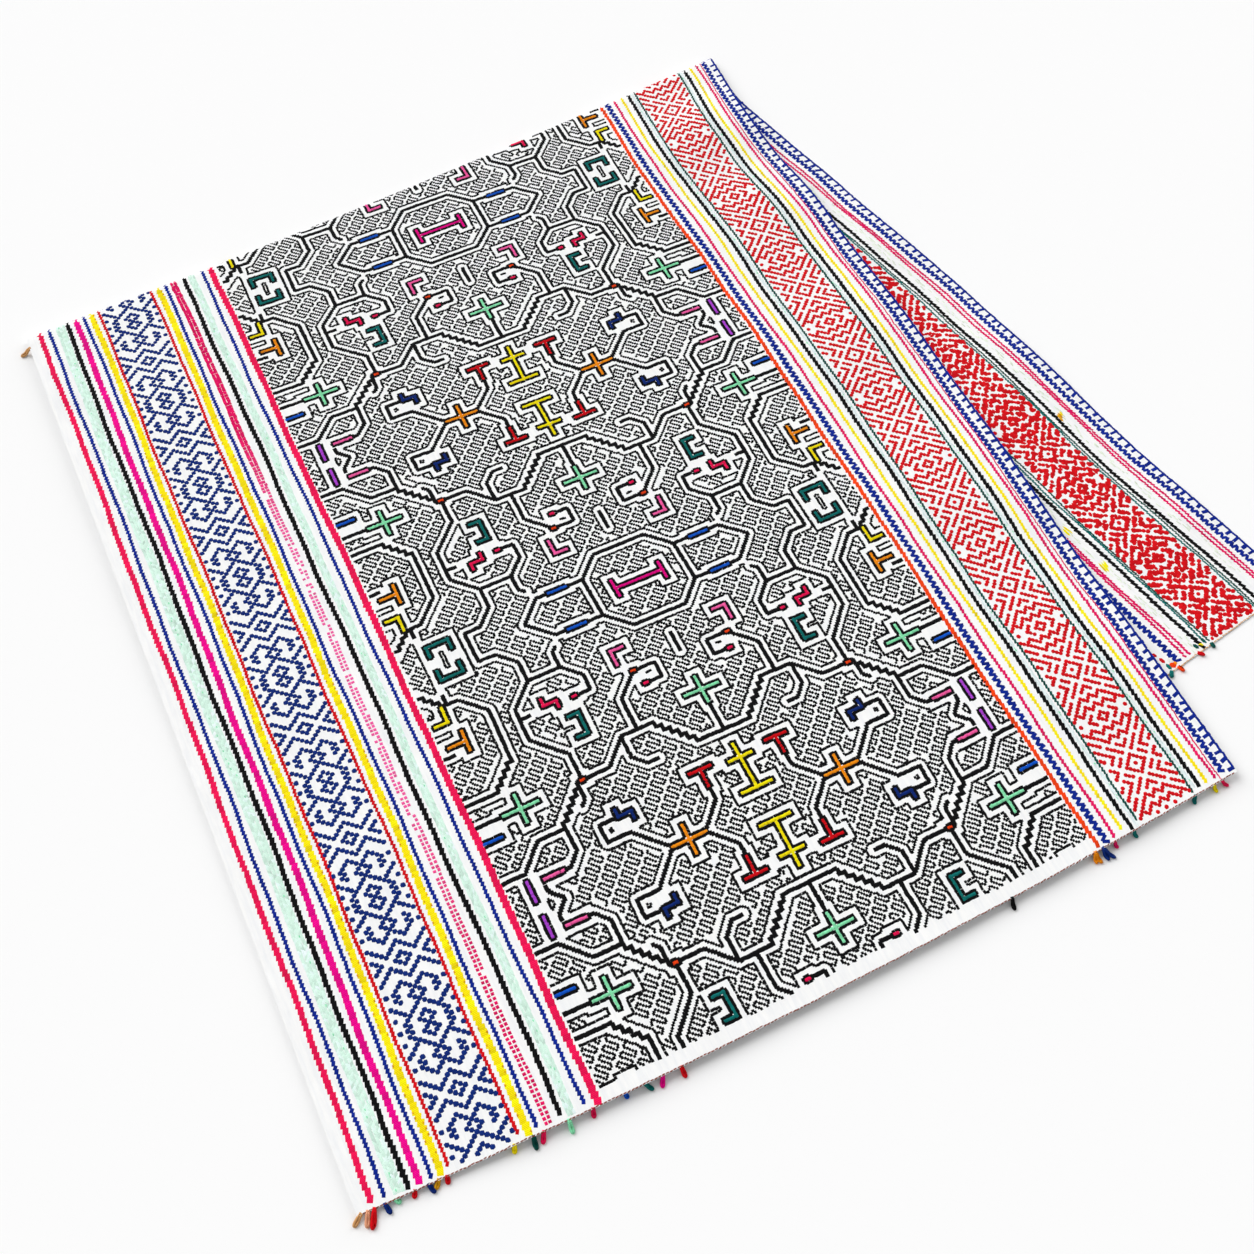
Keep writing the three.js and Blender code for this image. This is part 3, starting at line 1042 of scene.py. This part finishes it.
def cotton_material():
    """White plain-woven cotton with uneven threads and a soft hand."""
    material, tree, shader = new_material("white_cotton")
    flat = add_node(tree, "ShaderNodeUVMap", uv_map="Flat")
    weave = add_node(tree, "ShaderNodeGroup", node_tree=plain_weave_group(), Threads=520.0)
    link(flat, "UV", weave, "Vector")
    ground = bpy.context.scene.folded_cloth.ground
    shade = add_node(tree, "ShaderNodeMix", data_type="RGBA", blend_type="MIX")
    shade.inputs[6].default_value = (*(np.array(ground) * COTTON_SHADE), 1)
    shade.inputs[7].default_value = (*ground, 1)
    firm = add_node(tree, "ShaderNodeMapRange", From_Min=0.35, From_Max=0.6)
    link(weave, "Slub", firm, "Value")
    link(firm, "Result", shade, "Factor")
    link(shade, 2, shader, "Base Color")
    bump = add_node(tree, "ShaderNodeBump", Strength=0.35, Distance=0.00025)
    link(weave, "Height", bump, "Height")
    soft = add_node(tree, "ShaderNodeTexNoise", Scale=26.0, Detail=2.0)
    link(flat, "UV", soft, "Vector")
    crumple = add_node(tree, "ShaderNodeBump", Strength=0.25, Distance=0.004)
    link(soft, "Fac", crumple, "Height")
    link(crumple, "Normal", bump, "Normal")
    link(bump, "Normal", shader, "Normal")
    shader.inputs["Roughness"].default_value = 0.94
    shader.inputs["Specular IOR Level"].default_value = 0.2
    shader.inputs["Sheen Weight"].default_value = 0.15
    return material


def thread_material():
    """Stranded cotton thread: its own dye, twisted plies and a soft sheen."""
    name = "stranded_cotton"
    if name in bpy.data.materials:
        return bpy.data.materials[name]
    material, tree, shader = new_material(name)
    dyed = add_node(tree, "ShaderNodeAttribute", attribute_name="Dye")
    spot = add_node(tree, "ShaderNodeUVMap", uv_map="Stitch")
    tilt = add_node(tree, "ShaderNodeMapping", Rotation=(0, 0, math.radians(35)))
    link(spot, "UV", tilt, "Vector")
    plies = add_node(tree, "ShaderNodeTexWave", bands_direction="X", Scale=1.5, Distortion=0.6)
    link(tilt, "Vector", plies, "Vector")
    shadow = add_node(tree, "ShaderNodeMapRange", To_Min=0.78, To_Max=1.08)
    link(plies, "Fac", shadow, "Value")
    tint = add_node(tree, "ShaderNodeVectorMath", operation="SCALE")
    link(dyed, "Color", tint, "Vector")
    link(shadow, "Result", tint, "Scale")
    link(tint, "Vector", shader, "Base Color")
    bump = add_node(tree, "ShaderNodeBump", Strength=0.4, Distance=0.0002)
    link(plies, "Fac", bump, "Height")
    link(bump, "Normal", shader, "Normal")
    shader.inputs["Roughness"].default_value = 0.75
    shader.inputs["Specular IOR Level"].default_value = 0.08
    return material


def floor_material():
    """Matt pale floor."""
    material, _, shader = new_material("pale_floor")
    shader.inputs["Base Color"].default_value = (*bpy.context.scene.cloth_stage.floor, 1)
    shader.inputs["Roughness"].default_value = 0.95
    shader.inputs["Specular IOR Level"].default_value = 0.1
    return material


# Pieces.


class CLOTH_OT_cotton_sheet(bpy.types.Operator):
    """Fold the woven cotton ground over its solid"""

    bl_idname = "cloth.cotton_sheet"
    bl_label = "Cotton Sheet"

    def execute(self, context):
        folded = drape()
        rows = UPPER_ROWS + FOLD_ROWS + LOWER_ROWS
        bpy.ops.object.select_all(action="DESELECT")
        bpy.ops.mesh.primitive_grid_add(x_subdivisions=COLUMNS, y_subdivisions=rows, size=1)
        piece = context.object
        piece.name = piece.data.name = "cotton_cloth"
        mesh = piece.data
        flat = np.empty(len(mesh.vertices) * 3)
        mesh.vertices.foreach_get("co", flat)
        share, row, _ = flat.reshape(-1, 3).T + 0.5
        u, row = share * folded.width, row * rows
        stations = (0, UPPER_ROWS, UPPER_ROWS + FOLD_ROWS, rows)
        turn_start, turn_end = folded.along_at(u, 0), folded.along_at(u, folded.turn)
        v = np.interp(row, stations[:2], (0, 1)) * turn_start
        v += np.interp(row, stations[1:3], (0, 1)) * (turn_end - turn_start)
        v += np.interp(row, stations[2:], (0, 1)) * (folded.length - turn_end)
        mesh.vertices.foreach_set("co", folded.surface(u, v, np.zeros_like(u)).ravel())
        corner = np.empty(len(mesh.loops), np.int32)
        mesh.loops.foreach_get("vertex_index", corner)
        mesh.uv_layers.active.name = "Flat"
        mesh.uv_layers["Flat"].data.foreach_set("uv", (np.stack((u, v), 1)[corner] * MM).ravel())
        mesh.update()
        wall = piece.modifiers.new("Cloth thickness", "SOLIDIFY")
        wall.thickness = context.scene.folded_cloth.thickness
        wall.offset = 0
        bpy.ops.object.modifier_apply(modifier=wall.name)
        bpy.ops.object.shade_smooth_by_angle(angle=RIM_ANGLE)
        mesh.materials.append(cotton_material())
        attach(piece, BODY)
        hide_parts("cloth")
        return {"FINISHED"}


class CLOTH_OT_field(bpy.types.Operator):
    """Embroider the field's heavy lines, echo lines, slanting fill and coloured inlays"""

    bl_idname = "cloth.field"
    bl_label = "Embroidered Field"

    def execute(self, context):
        grid_u = np.arange(-GRID_MARGIN, QUARTER_ACROSS + GRID_MARGIN, GRID_STEP)
        grid_v = np.arange(-GRID_MARGIN, QUARTER_ALONG + GRID_MARGIN, GRID_STEP)
        u, v = np.meshgrid(grid_u, grid_v)
        lines = heavy_lines()
        legs = [leg for line in lines for leg in zip(line, line[1:])]
        bars = [bar for inlay in INLAYS for bar in inlay_bars(inlay)]
        to_line = straight_distance(legs, u, v, EIGHT_SIDED)
        to_inlay = straight_distance(bars, u, v, SQUARE)
        off = np.minimum(to_line - HEAVY_HALF, to_inlay - CORE_HALF - OUTLINE)
        black = thread_colour("black")

        fine = Stitches(seed=11)
        for line in level_lines(off, ECHO_OFF, grid_u, grid_v):
            embroider_beads(fine, even_places(line, ECHO_PITCH), ECHO_BEAD, black)
        add_fill(fine, off, black)
        third = drape().fold / 3
        parts = {"_near": (0, third), "_middle": (third, 2 * third), "_far": (2 * third, math.inf)}
        sew_face("field_fine_lines", fine, BEAD, margin=FIELD_MARGIN, parts=parts)

        heavy = Stitches(seed=12)
        for line in lines:
            embroider_beads(heavy, even_places(line, HEAVY_PITCH), HEAVY_BEAD, black)
        for line in level_lines(to_inlay, CORE_HALF + OUTLINE / 2 - OUTLINE_TUCK, grid_u, grid_v):
            embroider_beads(heavy, even_places(line, HEAVY_PITCH), OUTLINE, black)
        sew_face("field_heavy_lines", heavy, BEAD, margin=FIELD_MARGIN)

        cores = Stitches(seed=13)
        for inlay in INLAYS:
            for a, b in inlay_bars(inlay):
                cap = (b - a) / np.hypot(*(b - a)) * CORE_HALF
                u, v, run = even_places([a - cap, b + cap], CORE_PITCH)
                dyed = thread_colour(inlay.colour)
                embroider(cores, (u, v, run + math.pi / 2), 2 * CORE_HALF, CORE_PITCH * CORE_LAP, dyed)
                ends = np.array((a, b)).T
                embroider_beads(cores, (*ends, np.zeros(2)), 2 * CORE_HALF, dyed)
        sew_face("field_inlays", cores, BEAD, relief=CORE_RELIEF * MM, margin=FIELD_MARGIN)
        return {"FINISHED"}


def band_lattice(band):
    """The lattice places that a band's chart fills over the cloth's length, as flat places."""
    dots = set()
    for route in band.routes:
        corners = route_points(route)
        for (ax, ay), (bx, by) in zip(corners, corners[1:]):
            legs = max(abs(bx - ax), abs(by - ay), 1)
            for leg in range(legs + 1):
                dots.add((ax + (bx - ax) * leg // legs, ay + (by - ay) * leg // legs))
    dots |= {(-x, y) for x, y in dots}
    dots |= {(x, 2 * band.rows - y) for x, y in dots}
    column, row = np.array(sorted(dots), float).T
    repeats = np.arange(int(drape().length / (2 * band.rows * band.along)) + 1)[:, None]
    u = np.broadcast_to(band.at + column * band.across, (len(repeats), len(column))).ravel()
    v = ((row + repeats * 2 * band.rows) * band.along).ravel()
    du, dv = wander(u, v)
    return u + du, v + dv


class CLOTH_OT_bands(bpy.types.Operator):
    """Cross-stitch the two charted bands"""

    bl_idname = "cloth.bands"
    bl_label = "Charted Bands"

    def execute(self, context):
        for seed, band in enumerate(BANDS, 21):
            stitches = Stitches(seed)
            u, v = band_lattice(band)
            cell = math.hypot(band.across, band.along)
            slant = math.atan2(band.along, band.across)
            dyed = thread_colour(band.colour)
            for lean in (slant, -slant):
                stitches.add(u, v, lean, cell * CROSS_REACH, cell * band.fullness, dyed)
            sew_face(band.name, stitches)
        return {"FINISHED"}


class CLOTH_OT_borders(bpy.types.Operator):
    """Sew the borders' striped rows and the blanket stitch on the right edge"""

    bl_idname = "cloth.borders"
    bl_label = "Striped Borders"

    def execute(self, context):
        stitches = Stitches(seed=31)
        for row in BORDER_ROWS:
            margin = END_MARGIN + stitches.random.uniform(0, END_SPREAD)
            sew_row(stitches, row, margin, drape().length - END_MARGIN)
        sew_face("border_rows", stitches, BEAD)
        blanket = Stitches(seed=32)
        add_blanket(blanket)
        sew_face("blanket_stitch", blanket, BEAD)
        return {"FINISHED"}


def add_blanket(stitches):
    """Teeth across the right edge, and the thread that runs along it."""
    width, length = drape().width, drape().length
    tooth = np.arange(END_MARGIN, length - END_MARGIN, BLANKET_PITCH)
    tooth = tooth + stitches.random.normal(0, BLANKET_STRAY, len(tooth))
    dyed = thread_colour("blue")
    middle = width - BLANKET_TOOTH / 2
    stitches.add(middle, tooth, BLANKET_SLANT, BLANKET_TOOTH, BLANKET_WIDTH, dyed, BLANKET_LOOSE)
    edge = np.arange(END_MARGIN, length - END_MARGIN, EDGE_PITCH)
    stitches.add(width - EDGE_INSET, edge, math.pi / 2, EDGE_LENGTH, EDGE_WIDTH, dyed)


def sew_row(stitches, row, start, end):
    """One border row from start to end along the cloth, in its own manner."""
    random = stitches.random
    dye_of_row = thread_colour(row.colour)
    upright = math.pi / 2

    def stroke(offset, v, lean, length, width, dyed=dye_of_row):
        sway = sum(s.height * np.sin(v / s.along + s.turns * row.at) for s in ROW_SWAY)
        stitches.add(row.at + sway + offset, v, lean, length, width, dyed)

    def some(v, share):
        return v[random.random(len(v)) < share]

    if row.manner in ("rope", "flecked"):
        v = np.arange(start, end, ROPE_PITCH)
        stroke(0, v, upright - ROPE_SLANT, ROPE_LENGTH, row.width * ROPE_FULLNESS)
        if row.manner == "flecked":
            fleck = some(v, FLECK_SHARE)
            side = random.choice((-FLECK_SIDE, FLECK_SIDE), len(fleck)) * row.width
            stroke(side, fleck, upright, FLECK_LENGTH, FLECK_WIDTH, thread_colour("ochre"))
    elif row.manner == "beads":
        v = np.arange(start, end, BEAD_PITCH)
        slant = BEAD_SLANT * min(1, row.width / BEAD_SLANT_WIDTH)
        stroke(0, v, upright - slant, BEAD_LENGTH, row.width * BEAD_FULLNESS)
    elif row.manner == "serrated":
        v = np.arange(start, end, SERRATED_LEG)
        slope = math.atan2(SERRATED_LEG, row.width) * np.where(np.arange(len(v)) % 2, 1, -1)
        stroke(0, v, slope, math.hypot(SERRATED_LEG, row.width), SERRATED_WIDTH)
    elif row.manner == "dashes":
        v = np.arange(start, end, DASH_PITCH)
        close = ease(v, *DASH_CLOSE)
        bright = 1 - ease(v, *DASH_FADE) + close
        dyed = dye_of_row + (thread_colour("rose") - dye_of_row) * bright[:, None]
        length = DASH_PITCH * (DASH_LENGTH + DASH_CLOSE_LENGTH * close)
        width = row.width * (DASH_FULLNESS + DASH_CLOSE_FULLNESS * close)
        for offset in (-row.width / 4, row.width / 4):
            sewn = random.random(len(v)) < DASH_SHARE + (1 - DASH_SHARE) * bright
            stroke(offset, v[sewn], upright, length[sewn], width[sewn], dyed[sewn])
    elif row.manner == "floats":
        v = np.arange(start, end, FLOAT_PITCH)
        for offset in (-row.width / 3, 0, row.width / 3):
            stroke(offset, v, upright, FLOAT_LENGTH, row.width / FLOAT_THREADS)
        speck = some(v, SPECK_SHARE)
        side = random.uniform(-row.width / 3, row.width / 3, len(speck))
        stroke(side, speck, upright, SPECK_LENGTH, SPECK_WIDTH, thread_colour("mint"))
    elif row.manner == "flecks":
        v = some(np.arange(start, end, BACK_FLECK_PITCH), BACK_FLECK_SHARE)
        side = random.uniform(-row.width / 2, row.width / 2, len(v))
        length = random.uniform(BACK_FLECK_SHORT, BACK_FLECK_LONG, len(v))
        stroke(side, v, upright, length, BACK_FLECK_WIDTH)


class CLOTH_OT_wrong_side(bpy.types.Operator):
    """Sew the back of the right border, bare on the lower layer"""

    bl_idname = "cloth.wrong_side"
    bl_label = "Wrong Side"

    def execute(self, context):
        folded = drape()
        start, end = folded.along_at(folded.width, folded.turn), folded.length - END_MARGIN
        rows = Stitches(seed=41)
        for row in BACK_ROWS:
            sew_row(rows, row, start, end)
        add_blanket(rows)
        stitches = Stitches(seed=42)
        band = BANDS[1]
        random = stitches.random
        scarlet = thread_colour(band.colour)
        u, v = band_lattice(band)
        cell = math.hypot(band.across, band.along)
        lean = random.choice((BACK_LEAN, -BACK_LEAN), len(u))
        lean = lean + random.normal(0, BACK_LEAN_SPREAD, len(u))
        length = cell * random.uniform(BACK_SHORT, BACK_LONG, len(u))
        stitches.add(u, v, lean, length, BACK_WIDTH, scarlet, BACK_LOOSE)
        strays = random.random(len(u)) < STRAY_SHARE
        u, v = u[strays], v[strays] + band.along
        lean = random.uniform(0, math.pi, len(u))
        length = random.uniform(STRAY_SHORT, STRAY_LONG, len(u))
        stitches.add(u, v, lean, length, STRAY_WIDTH, scarlet, BACK_LOOSE)
        for knot in KNOTS:
            v = folded.length - knot.back
            dyed = thread_colour(knot.colour)
            stitches.add(knot.across, v, math.pi / 2, knot.length, knot.width, dyed, BACK_LOOSE)
        for name, sewn, form in (("rows", rows, BEAD), ("band", stitches, PLUMP)):
            table = sewn.table()
            bare = folded.past_fold(table[:, 0], table[:, 1]) > folded.turn + BARE_FROM
            bare &= clear_of_ends(table[:, 1], END_MARGIN)
            sew(f"wrong_side_{name}", table[bare], form, side=-1)
        return {"FINISHED"}


def looped_strands(rows, roots, seed):
    """Tubes for looped thread ends that leave their roots and sink to the floor, and one tube's faces."""
    random = np.random.default_rng(seed)
    around = np.arange(STRAND_SIDES) * math.tau / STRAND_SIDES
    turn = np.linspace(0, math.pi, STRAND_STEPS)
    tubes, dyes = [], []
    for row, root in zip(rows, roots):
        for _ in range(row.loops):
            heading = np.array((row.lean + random.normal(0, row.loops), -row.reach))
            reach = np.hypot(*heading) * random.uniform(LOOP_SHORT, LOOP_LONG)
            heading /= np.hypot(*heading)
            out = reach * np.sin(turn) ** LOOP_BLUNT
            aside = -LOOP_WIDTH / 2 * np.cos(turn) * (LOOP_ROOT + (1 - LOOP_ROOT) * np.sin(turn))
            floor = STRAND_RADIUS + FLOOR_GAP
            sunk = ease(out / reach, LOOP_SINK_FROM, LOOP_SINK_TO)
            z = root[2] * (1 - sunk) + floor * sunk + LOOP_ARCH * np.sin(2 * turn)
            x = root[0] + heading[0] * out - heading[1] * aside
            y = root[1] + heading[1] * out + heading[0] * aside
            middle = np.stack((x, y, np.maximum(z, floor)), axis=1)
            ahead = np.gradient(middle, axis=0)
            ahead /= np.linalg.norm(ahead, axis=1, keepdims=True)
            side = np.cross(ahead, (0, 0, 1))
            side /= np.linalg.norm(side, axis=1, keepdims=True)
            top = np.cross(side, ahead)
            ring = side[:, None] * np.cos(around)[:, None] + top[:, None] * np.sin(around)[:, None]
            tubes.append((middle[:, None] + ring * STRAND_RADIUS).reshape(-1, 3) * MM)
            dyes.append(np.clip(thread_colour(row.colour) * random.uniform(LOOP_DEEP, LOOP_PALE), 0, 1))
    faces = []
    for step in range(STRAND_STEPS - 1):
        for corner in range(STRAND_SIDES):
            after = (corner + 1) % STRAND_SIDES
            low, high = step * STRAND_SIDES, (step + 1) * STRAND_SIDES
            faces.append((low + corner, high + corner, high + after, low + after))
    last = (STRAND_STEPS - 1) * STRAND_SIDES
    faces.append(tuple(range(STRAND_SIDES)))
    faces.append(tuple(reversed(range(last, last + STRAND_SIDES))))
    spots = [
        (step / 2, corner / STRAND_SIDES)
        for step in range(STRAND_STEPS)
        for corner in range(STRAND_SIDES)
    ]
    return np.array(tubes), faces, np.array(dyes), spots


class CLOTH_OT_thread_ends(bpy.types.Operator):
    """Lay the loose thread ends at the cut ends and the fold, sew a thread along the lower layer's raw end,
    and paint the near raw edge's shade as a brown line of stitches
    """

    bl_idname = "cloth.thread_ends"
    bl_label = "Thread Ends"

    def execute(self, context):
        folded = drape()
        groups = (
            ("near_thread_ends", NEAR_ENDS, ROOT_INSET, "near_end_threads"),
            ("under_thread_ends", UNDER_ENDS, folded.length - ROOT_INSET, "under_end_threads"),
            ("fold_thread_loop", [FOLD_LOOP], folded.fold - FOLD_LOOP_BACK, None),
        )
        for seed, (name, rows, v, node) in enumerate(groups, 51):
            across = np.array([row.across for row in rows], float)
            roots = folded.middle(across, np.full(len(rows), v)) + folded.shift
            mesh = joined_mesh(name, *looped_strands(rows, roots, seed))
            piece = add_piece(name, mesh, thread_material())
            if node:
                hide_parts(node)
        u = np.arange(RAW_CORNER, folded.width - RAW_CORNER, RAW_PITCH)
        edges = (
            # Painted shade: the brown stitches along the near end stand for the shaded cut edge.
            ("near_edge_shade_stitches", RAW_INSET, "brown", 1),
            ("under_raw_edge_thread", folded.length - RAW_INSET, "tan", -1),
        )
        for seed, (name, v, dyed, side) in enumerate(edges, 54):
            edge = Stitches(seed)
            edge.add(u, v, RAW_SLANT, RAW_PITCH * RAW_LAP, RAW_WIDTH, thread_colour(dyed))
            sew(name, edge.table(), PLUMP, side=side, relief=RAW_RELIEF * MM)
        return {"FINISHED"}


class CLOTH_OT_stage(bpy.types.Operator):
    """Set the pale floor, the soft light and the camera"""

    bl_idname = "cloth.stage"
    bl_label = "Stage"

    def execute(self, context):
        settings = context.scene.cloth_stage
        bpy.ops.object.select_all(action="DESELECT")
        bpy.ops.mesh.primitive_plane_add(size=FLOOR_SIZE)
        floor = context.object
        floor.name = "floor"
        floor.data.materials.append(floor_material())
        floor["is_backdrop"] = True

        world = bpy.data.worlds.new("even_light")
        world.use_nodes = True
        world.node_tree.nodes["Background"].inputs["Color"].default_value = (1, 1, 1, 1)
        world.node_tree.nodes["Background"].inputs["Strength"].default_value = settings.sky
        context.scene.world = world
        context.scene.view_settings.view_transform = "Standard"

        lamps = (("soft_lamp", settings.lamp, LAMP_AXIS), ("low_lamp", settings.low_lamp, LOW_LAMP_AXIS))
        for name, energy, axis in lamps:
            lamp = bpy.data.lights.new(name, "SUN")
            lamp.energy = energy
            lamp.angle = settings.lamp_spread
            holder = bpy.data.objects.new(name, lamp)
            holder.rotation_euler = Vector(axis).to_track_quat("-Z", "Y").to_euler()
            context.scene.collection.objects.link(holder)

        view = bpy.data.cameras.new("camera")
        view.lens = settings.lens
        camera = bpy.data.objects.new("camera", view)
        back, up = -Vector(CAMERA_AXIS).normalized(), Vector(CAMERA_UP).normalized()
        turn = Matrix((up.cross(back), up, back)).transposed()
        place = (Vector(CAMERA_PLACE) + Vector(drape().shift)) * MM
        camera.matrix_world = Matrix.Translation(place) @ turn.to_4x4()
        context.scene.collection.objects.link(camera)
        context.scene.camera = camera
        return {"FINISHED"}


class CLOTH_PT_panel(bpy.types.Panel):
    """Settings and steps of the folded cloth"""

    bl_idname = "CLOTH_PT_panel"
    bl_label = "Folded Embroidered Cloth"
    bl_space_type = "VIEW_3D"
    bl_region_type = "UI"
    bl_category = "Cloth"

    def draw(self, context):
        for group in SETTINGS:
            settings = getattr(context.scene, group)
            for name in settings.__annotations__:
                self.layout.prop(settings, name)
        for operator in OPERATORS:
            self.layout.operator(operator.bl_idname)


SETTINGS = {
    "folded_cloth": ClothSettings,
    "cloth_threads": ThreadSettings,
    "cloth_stage": StageSettings,
}
OPERATORS = (
    CLOTH_OT_stage,
    CLOTH_OT_cotton_sheet,
    CLOTH_OT_field,
    CLOTH_OT_bands,
    CLOTH_OT_borders,
    CLOTH_OT_wrong_side,
    CLOTH_OT_thread_ends,
)


def register():
    for cls in (*SETTINGS.values(), *OPERATORS, CLOTH_PT_panel):
        bpy.utils.register_class(cls)
    for name, group in SETTINGS.items():
        setattr(bpy.types.Scene, name, PointerProperty(type=group))


def unregister():
    for name in SETTINGS:
        delattr(bpy.types.Scene, name)
    for cls in reversed((*SETTINGS.values(), *OPERATORS, CLOTH_PT_panel)):
        bpy.utils.unregister_class(cls)


def main():
    register()
    bpy.ops.cloth.stage()
    bpy.ops.cloth.cotton_sheet()
    bpy.ops.cloth.field()
    bpy.ops.cloth.bands()
    bpy.ops.cloth.borders()
    bpy.ops.cloth.wrong_side()
    bpy.ops.cloth.thread_ends()
    boxes = {"cad": CAD_BOX, "visual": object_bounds()}
    {name: [[float(x) for x in corner] for corner in box] for name, box in boxes.items()}


if __name__ == "__main__":
    main()
